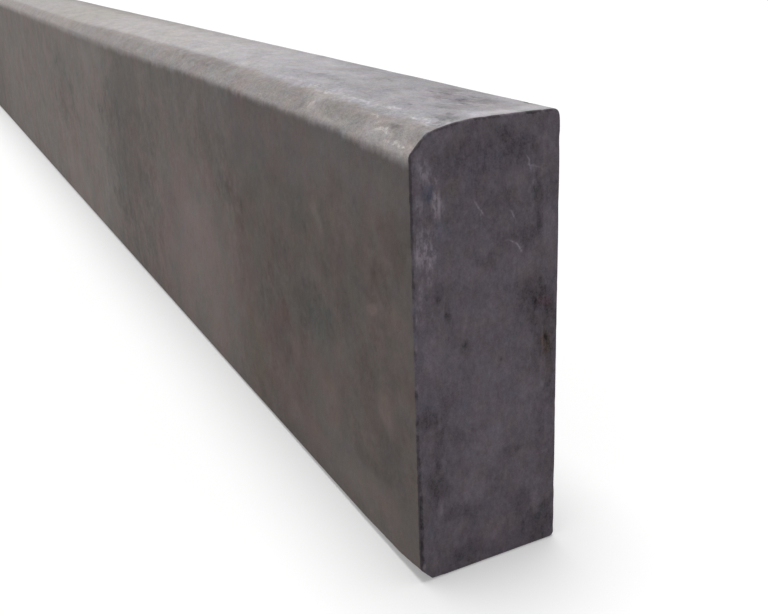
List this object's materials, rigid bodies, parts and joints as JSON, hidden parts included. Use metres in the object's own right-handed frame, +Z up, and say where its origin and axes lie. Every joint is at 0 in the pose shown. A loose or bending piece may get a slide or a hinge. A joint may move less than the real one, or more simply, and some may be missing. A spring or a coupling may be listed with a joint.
{
  "type": "concrete sleeper",
  "caption": "Plain precast concrete retaining-wall sleeper: a long solid bar standing on its narrow edge, with one bevelled and crowned top arris.",
  "frame": {"origin": "middle of the long narrow bed that the bar rests on", "axes": "+X along the length, towards the end that the picture shows; -Y out of the bevelled front face, so the thickness runs along Y; +Z up, towards the bevelled top"},
  "size_m": [2, 0.07, 0.2],
  "materials": {
    "concrete": "off-form cast concrete, matt warm grey on the sides and ends, lighter trowelled laitance on the top"
  },
  "bodies": {
    "root": {"sleeper": "concrete"}
  },
  "joints": []
}
